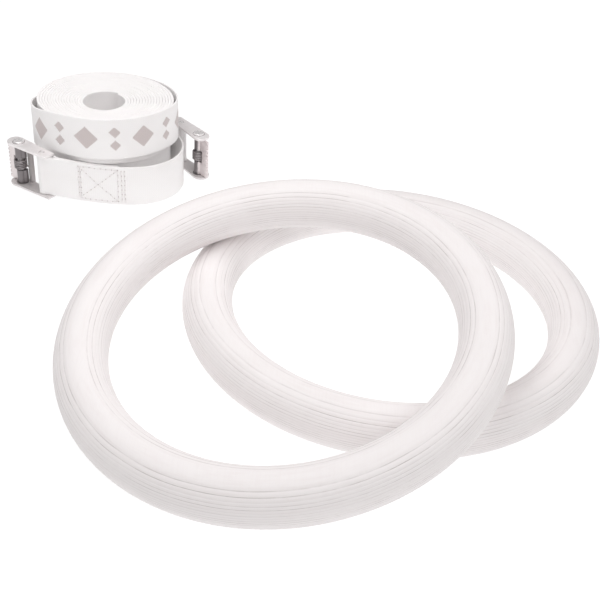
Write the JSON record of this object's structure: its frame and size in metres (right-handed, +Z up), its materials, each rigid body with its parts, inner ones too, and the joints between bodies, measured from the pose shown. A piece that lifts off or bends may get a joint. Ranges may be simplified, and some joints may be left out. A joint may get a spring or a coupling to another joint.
{
  "type": "gymnastics rings",
  "caption": "Laminated wooden gymnastics rings lying together with their adjustable webbing straps rolled up beside them, each strap sewn to a spring-loaded cam buckle.",
  "frame": {"origin": "centre of the set's footprint, on the surface that it lies on", "axes": "+Z up from the surface; +Y away from the side that the rings lie on, towards the rolled straps; +X to the right"},
  "size_m": [0.3715, 0.3713, 0.0696],
  "materials": {
    "ring_wood": "satin",
    "webbing": "woven",
    "thread": "twisted",
    "buckle_zinc": "plated, satin",
    "lever_zinc": "plated, satin",
    "pin_steel": "bright",
    "spring_steel": "oiled"
  },
  "bodies": {
    "right_ring": {"right_ring": "ring_wood"},
    "left_ring": {"left_ring": "ring_wood"},
    "lower_strap": {"lower_strap_roll": "webbing", "lower_strap_outer_turn": "webbing", "lower_strap_fold": "webbing", "lower_strap_stitching": "thread", "left_buckle_frame": "buckle_zinc", "left_buckle_strap_bar": "pin_steel", "left_buckle_pivot_pin": "pin_steel", "left_buckle_torsion_spring": "spring_steel"},
    "upper_strap": {"upper_strap_roll": "webbing", "upper_strap_front_turn": "webbing", "upper_strap_descent": "webbing", "upper_strap_fold": "webbing", "upper_strap_stitching": "thread", "right_buckle_frame": "buckle_zinc", "right_buckle_strap_bar": "pin_steel", "right_buckle_pivot_pin": "pin_steel", "right_buckle_torsion_spring": "spring_steel"},
    "left_cam_lever": {"left_buckle_cam_lever": "lever_zinc"},
    "right_cam_lever": {"right_buckle_cam_lever": "lever_zinc"}
  },
  "joints": [
    {"name": "left_ring_lift", "type": "slide", "parent": "right_ring", "child": "left_ring", "axis": [0, 0, 1], "range_m": [0, 0.075]},
    {"name": "lower_strap_lift", "type": "slide", "parent": "right_ring", "child": "lower_strap", "axis": [0, 0, 1], "range_m": [0, 0.07]},
    {"name": "upper_strap_lift", "type": "slide", "parent": "lower_strap", "child": "upper_strap", "axis": [0, 0, 1], "range_m": [0, 0.07]},
    {"name": "left_cam_lever_pivot", "type": "hinge", "parent": "lower_strap", "child": "left_cam_lever", "pos_m": [-0.1765, 0.1129, 0.0168], "axis": [0, 0, -1], "range_deg": [0, 35], "stiffness_Nm_per_rad": 0.08, "springref_deg": -17.19, "deforming": ["left_buckle_torsion_spring"]},
    {"name": "right_cam_lever_pivot", "type": "hinge", "parent": "upper_strap", "child": "right_cam_lever", "pos_m": [-0.0616, 0.1444, 0.0168], "axis": [0, 0, 1], "range_deg": [0, 35], "stiffness_Nm_per_rad": 0.08, "springref_deg": -17.19, "deforming": ["right_buckle_torsion_spring"]}
  ]
}
